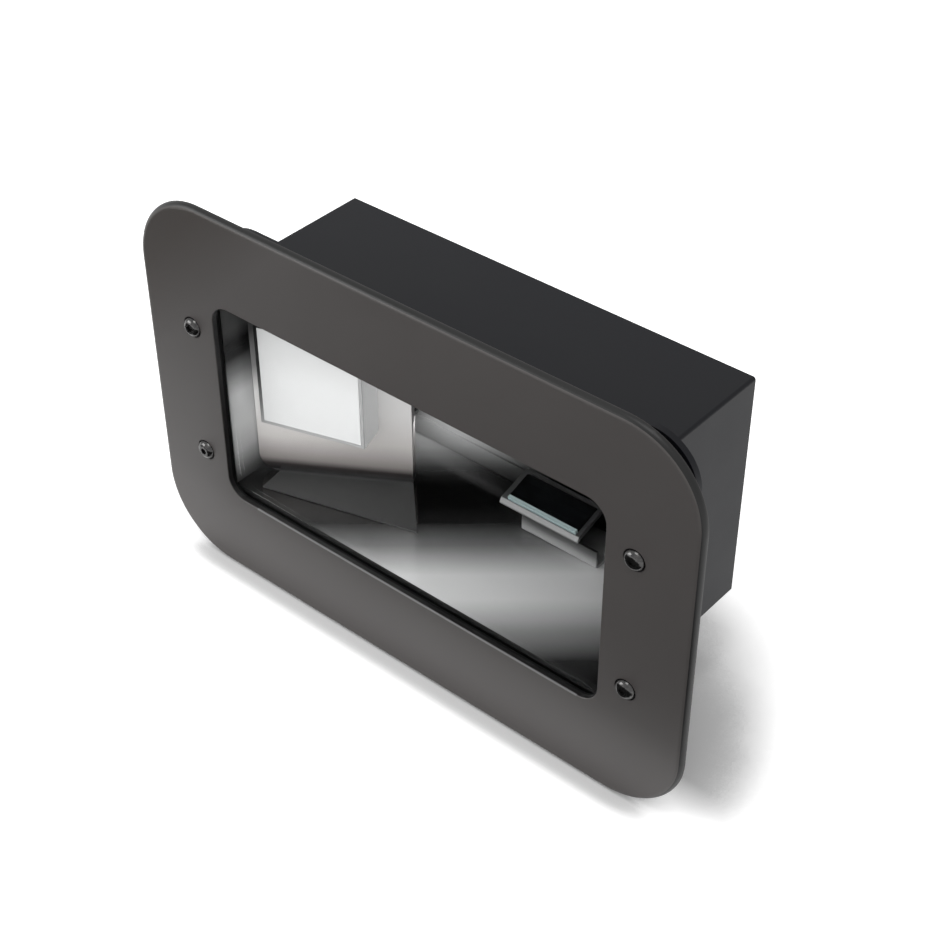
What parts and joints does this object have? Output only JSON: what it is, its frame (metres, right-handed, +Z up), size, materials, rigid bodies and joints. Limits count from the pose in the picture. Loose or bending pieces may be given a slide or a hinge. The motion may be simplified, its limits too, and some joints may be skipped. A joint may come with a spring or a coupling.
{
  "type": "barcode scanner",
  "caption": "Flush-mounted checkout barcode scanner: rounded dark bezel plate, wide glass window, camera pod and lamp in a sheet-metal housing behind it.",
  "frame": {"origin": "centre of the bezel plate's back face, which seats on the counter panel, midway between the four front screws", "axes": "+X to the right seen from the front, +Y back into the counter along the front screws, +Z up"},
  "size_m": [0.3, 0.0981, 0.1956],
  "materials": {
    "bezel_paint": "satin",
    "black_steel": "satin",
    "housing_paint": "satin",
    "zinc_steel": "satin",
    "gasket_rubber": "matte",
    "window_glass": "gloss",
    "gloss_floor": "gloss",
    "polished_steel": "gloss",
    "grey_paint": "matte",
    "grey_plastic": "satin",
    "white_diffuser": "satin",
    "circuit_green": "satin",
    "led_yellow": "satin",
    "pod_plastic": "satin",
    "dark_glass": "gloss",
    "black_aluminium": "satin",
    "lens_glass": "gloss",
    "mirror_glass": "gloss",
    "bare_aluminium": "satin",
    "brass": "satin",
    "black_plastic": "satin"
  },
  "bodies": {
    "root": {"front_bezel": "bezel_paint", "window_gasket": "gasket_rubber", "window_glass": "window_glass", "housing": "housing_paint", "front_screws": "black_steel", "flange_nuts": "zinc_steel", "clamp_frame": "zinc_steel", "clamp_nuts": "zinc_steel", "rear_cover": "housing_paint", "cover_screws": "zinc_steel", "floor_sheet": "gloss_floor", "side_liners": "polished_steel", "lamp_carrier": "grey_paint", "lamp_shade": "grey_plastic", "diffuser": "white_diffuser", "led_board": "circuit_green", "leds": "led_yellow", "pod_housing": "pod_plastic", "pod_glass": "dark_glass", "pod_plate": "grey_paint", "sensor_board": "circuit_green", "lens_barrel": "black_aluminium", "lens_glass": "lens_glass", "fold_mirror": "mirror_glass", "mirror_bracket": "zinc_steel", "processor_board": "circuit_green", "board_standoffs": "brass", "board_screws": "zinc_steel", "processor_chip": "black_plastic", "heat_sink": "bare_aluminium", "network_socket": "black_plastic", "power_socket": "black_plastic", "carrier_screws": "zinc_steel", "pod_screws": "zinc_steel", "plate_screws": "zinc_steel"}
  },
  "joints": []
}
